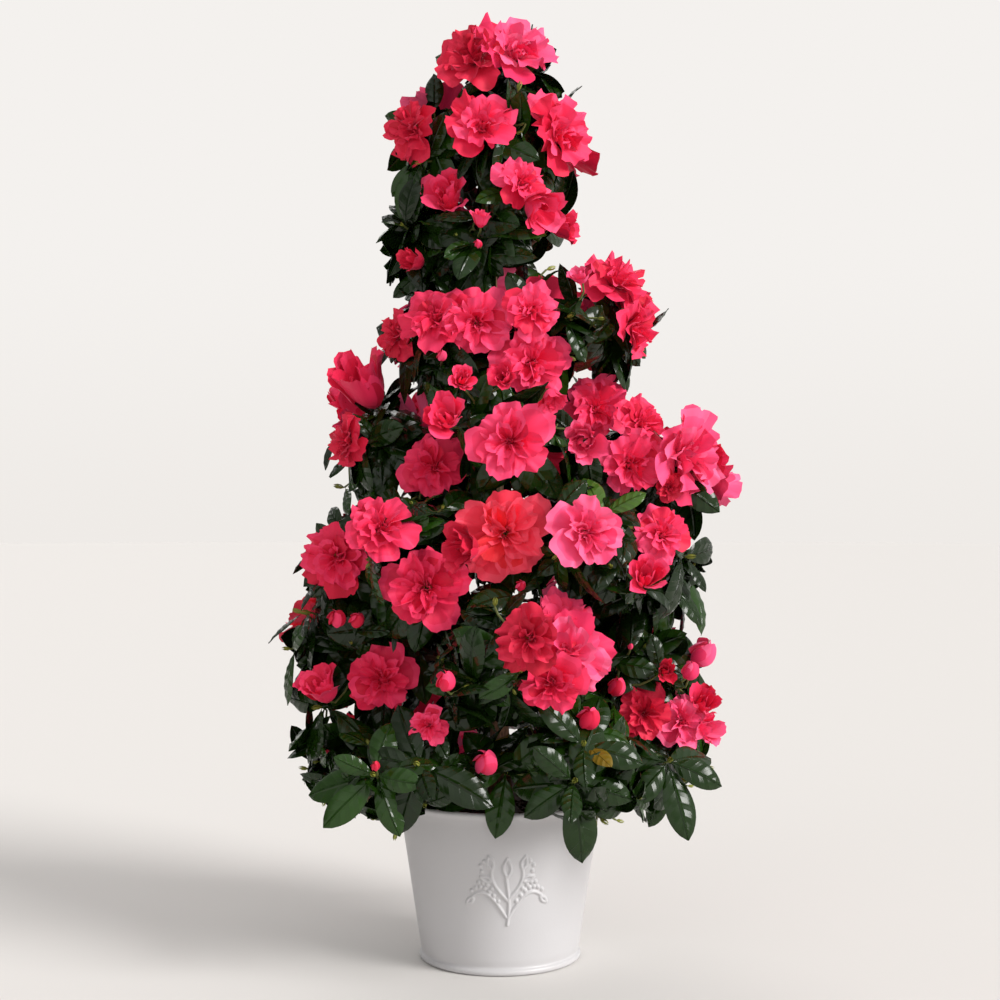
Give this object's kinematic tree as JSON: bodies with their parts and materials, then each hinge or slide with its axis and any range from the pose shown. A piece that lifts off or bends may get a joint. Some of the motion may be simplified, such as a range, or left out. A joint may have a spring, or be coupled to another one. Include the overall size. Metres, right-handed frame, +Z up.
{
  "type": "azalea shrub in a pot",
  "caption": "Flowering azalea shrub grown as a tall, open pyramid, with a main stem, boughs and masses of leaves and double flowers, in a round tapered metal pot.",
  "frame": {"origin": "centre of the pot's flat underside", "axes": "+Z up along the pot's axis, -Y towards the front, +X to the right"},
  "size_m": [0.3371, 0.3063, 0.6771],
  "materials": {
    "pot_paint": "satin",
    "peat": "matte",
    "bark": "matte",
    "leaf": "satin",
    "petal": "matte",
    "bud_scale": "matte"
  },
  "bodies": {
    "root": {"bough_chest_back_left": "bark", "bough_chest_back_right": "bark", "bough_chest_front": "bark", "bough_chest_left": "bark", "bough_chest_right": "bark", "bough_hip_back_left": "bark", "bough_hip_back_right": "bark", "bough_hip_front": "bark", "bough_hip_left": "bark", "bough_hip_right": "bark", "bough_skirt_back_left": "bark", "bough_skirt_back_right": "bark", "bough_skirt_front_left": "bark", "bough_skirt_front_right": "bark", "bough_skirt_left": "bark", "bough_skirt_right": "bark", "bough_waist_back": "bark", "bough_waist_front_left": "bark", "bough_waist_front_right": "bark", "bough_waist_left": "bark", "bough_waist_right": "bark", "foliage_chest_back_left": "leaf", "foliage_chest_back_right": "leaf", "foliage_chest_front": "leaf", "foliage_chest_left": "leaf", "foliage_chest_right": "leaf", "foliage_hip_back_left": "leaf", "foliage_hip_back_right": "leaf", "foliage_hip_front": "leaf", "foliage_hip_left": "leaf", "foliage_hip_right": "leaf", "foliage_neck_back": "leaf", "foliage_neck_front": "leaf", "foliage_neck_left": "leaf", "foliage_neck_right": "leaf", "foliage_shoulder_back": "leaf", "foliage_shoulder_front_left": "leaf", "foliage_shoulder_front_right": "leaf", "foliage_shoulder_left": "leaf", "foliage_shoulder_right": "leaf", "foliage_skirt_back_left": "leaf", "foliage_skirt_back_right": "leaf", "foliage_skirt_front_left": "leaf", "foliage_skirt_front_right": "leaf", "foliage_skirt_left": "leaf", "foliage_skirt_right": "leaf", "foliage_tip": "leaf", "foliage_upper_back": "leaf", "foliage_upper_front": "leaf", "foliage_upper_left": "leaf", "foliage_upper_right": "leaf", "foliage_waist_back": "leaf", "foliage_waist_front_left": "leaf", "foliage_waist_front_right": "leaf", "foliage_waist_left": "leaf", "foliage_waist_right": "leaf", "main_stem": "bark", "pot": "pot_paint", "root_ball": "peat"}
  },
  "joints": []
}
